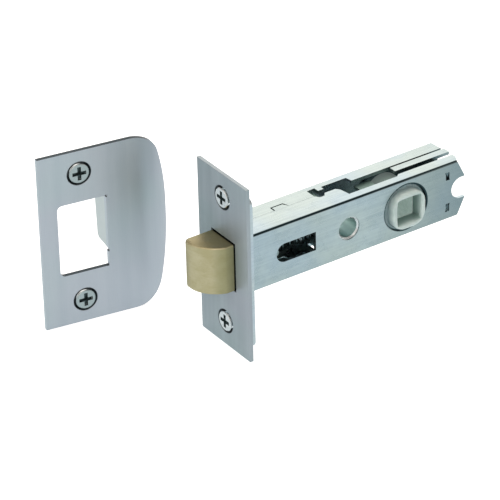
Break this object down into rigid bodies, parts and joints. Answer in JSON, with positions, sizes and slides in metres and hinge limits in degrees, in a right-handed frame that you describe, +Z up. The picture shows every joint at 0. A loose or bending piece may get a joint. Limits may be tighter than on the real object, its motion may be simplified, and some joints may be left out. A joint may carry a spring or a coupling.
{
  "type": "tubular mortice latch",
  "caption": "Sprung door latch with a bevelled bolt in a slim rectangular case, a square-hole hub that draws the bolt back, and a full-lip strike plate.",
  "frame": {"origin": "centre of the forend's outer face, midway between its two screws", "axes": "+X along the case into the door, square to the forend; +Z up along the forend; -Y out of the near side of the case, through which the spindle enters"},
  "size_m": [0.1204, 0.0557, 0.0572],
  "materials": {
    "satin_forend": "satin chrome plate with fine brushing along the height",
    "satin_strike": "satin chrome plate with fine brushing along the height",
    "zinc_backing": "zinc plated steel, dull",
    "zinc_case": "bright zinc plated rolled steel sheet, faint rolling streaks",
    "zinc_inner": "zinc plated steel, slightly oily",
    "spring_steel": "oiled spring steel",
    "follower_steel": "sintered steel",
    "brass_bolt": "satin brass, lightly tarnished",
    "nickel_screw": "nickel plated",
    "nylon_hub": "natural translucent nylon"
  },
  "bodies": {
    "case": {"forend_plate": "satin_forend", "backing_plate": "zinc_backing", "case_near_half": "zinc_case", "case_far_half": "zinc_case", "rear_bridge": "zinc_case", "fixing_sleeve": "nickel_screw", "spring_seat": "zinc_inner", "spring_guide": "spring_steel", "bolt_spring": "spring_steel", "forend_screw_upper": "nickel_screw", "forend_screw_lower": "nickel_screw"},
    "bolt": {"bolt_head": "brass_bolt", "bolt_rivet": "spring_steel", "retractor": "zinc_inner"},
    "hub": {"follower": "follower_steel", "hub_bush_near": "nylon_hub", "hub_bush_far": "nylon_hub"},
    "strike": {"strike_plate": "satin_strike", "strike_screw_upper": "nickel_screw", "strike_screw_lower": "nickel_screw"}
  },
  "joints": [
    {"name": "hub_turn", "type": "hinge", "parent": "case", "child": "hub", "pos_m": [0.06, 0, 0], "axis": [0, 1, 0], "range_deg": [0, 73]},
    {"name": "bolt_slide", "type": "slide", "parent": "case", "child": "bolt", "axis": [1, 0, 0], "range_m": [0, 0.0098], "stiffness_N_per_m": 400, "springref_m": -0.01, "deforming": ["bolt_spring"]},
    {"name": "strike_part", "type": "slide", "parent": "case", "child": "strike", "axis": [0, 1, 0], "range_m": [0, 0.06]}
  ],
  "couplings": [
    {"joint": "hub_turn", "follows": "bolt_slide", "rad_per_m": 129.87}
  ]
}
